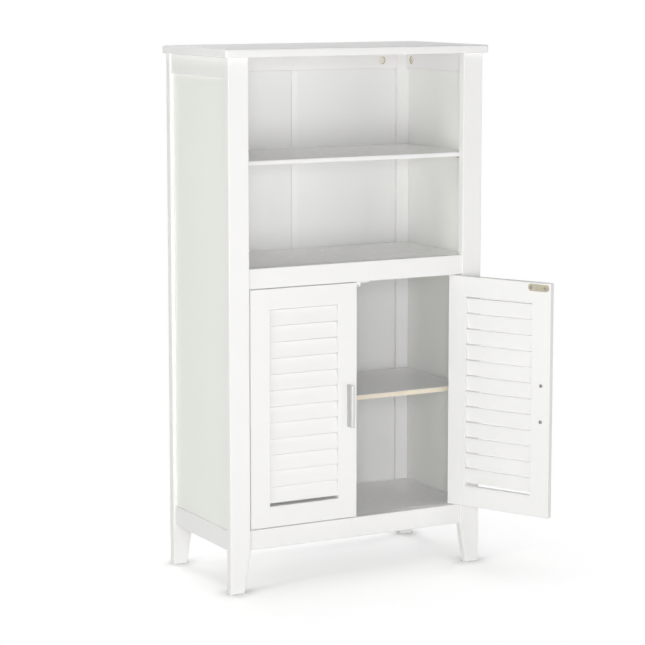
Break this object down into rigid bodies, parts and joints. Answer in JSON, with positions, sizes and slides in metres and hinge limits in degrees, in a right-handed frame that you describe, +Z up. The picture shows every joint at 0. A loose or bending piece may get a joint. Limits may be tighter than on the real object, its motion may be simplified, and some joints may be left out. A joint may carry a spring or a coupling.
{
  "type": "louvred door cabinet",
  "caption": "Narrow free-standing cabinet on tapered legs: open shelves above, and a cupboard with hinged louvred doors below.",
  "frame": {"origin": "centre of the front left foot's underside, on the floor", "axes": "+X to the right as seen from the front, +Y to the back, +Z up"},
  "size_m": [0.5596, 0.4199, 0.93],
  "materials": {
    "white_paint": "satin white paint on fibreboard",
    "panel_paint": "white foil on thin fibreboard",
    "satin_metal": "satin nickel",
    "plated_steel": "nickel plated steel",
    "white_plastic": "smooth white plastic"
  },
  "bodies": {
    "carcass": {"top_board": "white_paint", "front_left_leg": "white_paint", "front_right_leg": "white_paint", "rear_left_leg": "white_paint", "rear_right_leg": "white_paint", "left_side_top_rail": "white_paint", "left_side_bottom_rail": "white_paint", "right_side_top_rail": "white_paint", "right_side_bottom_rail": "white_paint", "left_side_panel": "panel_paint", "right_side_panel": "panel_paint", "back_top_rail": "white_paint", "back_bottom_rail": "white_paint", "back_panel_left": "panel_paint", "back_panel_right": "panel_paint", "back_joining_strip": "white_plastic", "front_middle_rail": "white_paint", "front_bottom_rail": "white_paint", "middle_shelf": "white_paint", "base_board": "white_paint", "upper_shelf": "white_paint", "lower_shelf": "white_paint", "magnetic_catch": "white_plastic"},
    "left_door": {"left_door_hinge_stile": "white_paint", "left_door_free_stile": "white_paint", "left_door_top_rail": "white_paint", "left_door_bottom_rail": "white_paint", "left_door_slat_01": "white_paint", "left_door_slat_02": "white_paint", "left_door_slat_03": "white_paint", "left_door_slat_04": "white_paint", "left_door_slat_05": "white_paint", "left_door_slat_06": "white_paint", "left_door_slat_07": "white_paint", "left_door_slat_08": "white_paint", "left_door_slat_09": "white_paint", "left_door_slat_10": "white_paint", "left_door_slat_11": "white_paint", "left_door_slat_12": "white_paint", "left_handle": "satin_metal", "left_strike_plate": "plated_steel"},
    "right_door": {"right_door_hinge_stile": "white_paint", "right_door_free_stile": "white_paint", "right_door_top_rail": "white_paint", "right_door_bottom_rail": "white_paint", "right_door_slat_01": "white_paint", "right_door_slat_02": "white_paint", "right_door_slat_03": "white_paint", "right_door_slat_04": "white_paint", "right_door_slat_05": "white_paint", "right_door_slat_06": "white_paint", "right_door_slat_07": "white_paint", "right_door_slat_08": "white_paint", "right_door_slat_09": "white_paint", "right_door_slat_10": "white_paint", "right_door_slat_11": "white_paint", "right_door_slat_12": "white_paint", "right_handle": "satin_metal", "right_strike_plate": "plated_steel"}
  },
  "joints": [
    {"name": "left_door_hinge", "type": "hinge", "parent": "carcass", "child": "left_door", "pos_m": [0.0355, 0, 0.31665], "axis": [0, 0, -1], "range_deg": [0, 116.5]},
    {"name": "right_door_hinge", "type": "hinge", "parent": "carcass", "child": "right_door", "pos_m": [0.4355, 0, 0.31665], "axis": [0, 0, 1], "range_deg": [-116.5, 0]}
  ]
}
